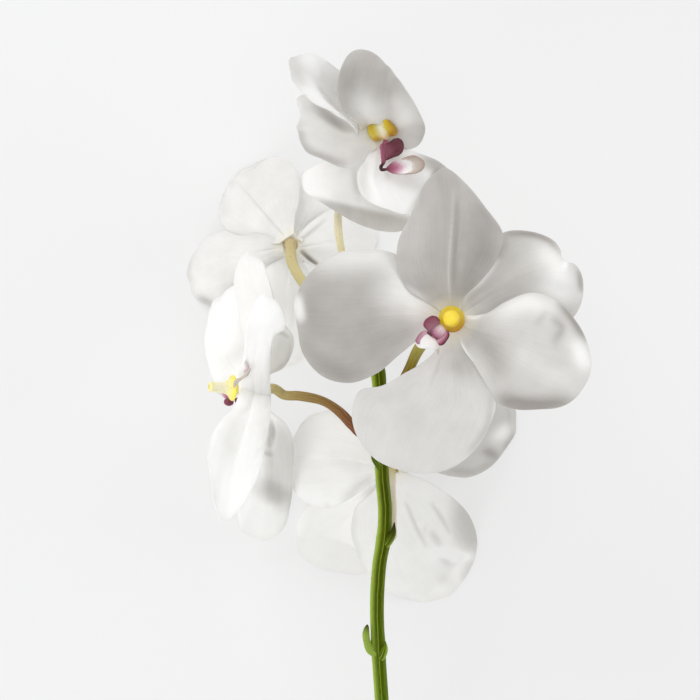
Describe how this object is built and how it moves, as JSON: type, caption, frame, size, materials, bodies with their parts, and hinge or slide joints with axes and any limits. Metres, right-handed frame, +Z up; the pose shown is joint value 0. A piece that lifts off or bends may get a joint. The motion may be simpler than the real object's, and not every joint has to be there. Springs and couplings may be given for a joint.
{
  "type": "vanda orchid spray",
  "caption": "Cut spray of a white vanda orchid lying on its side: a long green stem with open blooms on short stalks, each with broad petals, a yellow column and a small purple lip.",
  "frame": {"origin": "middle of the spray's bounding box, at the level of the surface that it lies on", "axes": "+Y along the stem from its cut end to its flowering end, +Z up from the surface, which is the way the foremost bloom faces"},
  "size_m": [0.1413, 0.3234, 0.1003],
  "materials": {
    "petal": "satin",
    "column": "satin",
    "lip": "satin",
    "stem": "satin",
    "pedicel": "satin"
  },
  "bodies": {
    "root": {"stem": "stem", "top_petal_a": "petal", "top_petal_b": "petal", "top_dorsal_sepal": "petal", "top_lateral_sepal_a": "petal", "top_lateral_sepal_b": "petal", "top_column": "column", "top_lip": "lip", "top_pedicel": "pedicel", "front_petal_a": "petal", "front_petal_b": "petal", "front_dorsal_sepal": "petal", "front_lateral_sepal_a": "petal", "front_lateral_sepal_b": "petal", "front_column": "column", "front_lip": "lip", "front_pedicel": "pedicel", "rear_petal_a": "petal", "rear_petal_b": "petal", "rear_dorsal_sepal": "petal", "rear_lateral_sepal_a": "petal", "rear_lateral_sepal_b": "petal", "rear_column": "column", "rear_lip": "lip", "rear_pedicel": "pedicel", "side_petal_a": "petal", "side_petal_b": "petal", "side_dorsal_sepal": "petal", "side_lateral_sepal_a": "petal", "side_lateral_sepal_b": "petal", "side_column": "column", "side_lip": "lip", "side_pedicel": "pedicel", "lower_petal_a": "petal", "lower_petal_b": "petal", "lower_dorsal_sepal": "petal", "lower_lateral_sepal_a": "petal", "lower_lateral_sepal_b": "petal", "lower_column": "column", "lower_lip": "lip", "lower_pedicel": "pedicel"}
  },
  "joints": []
}
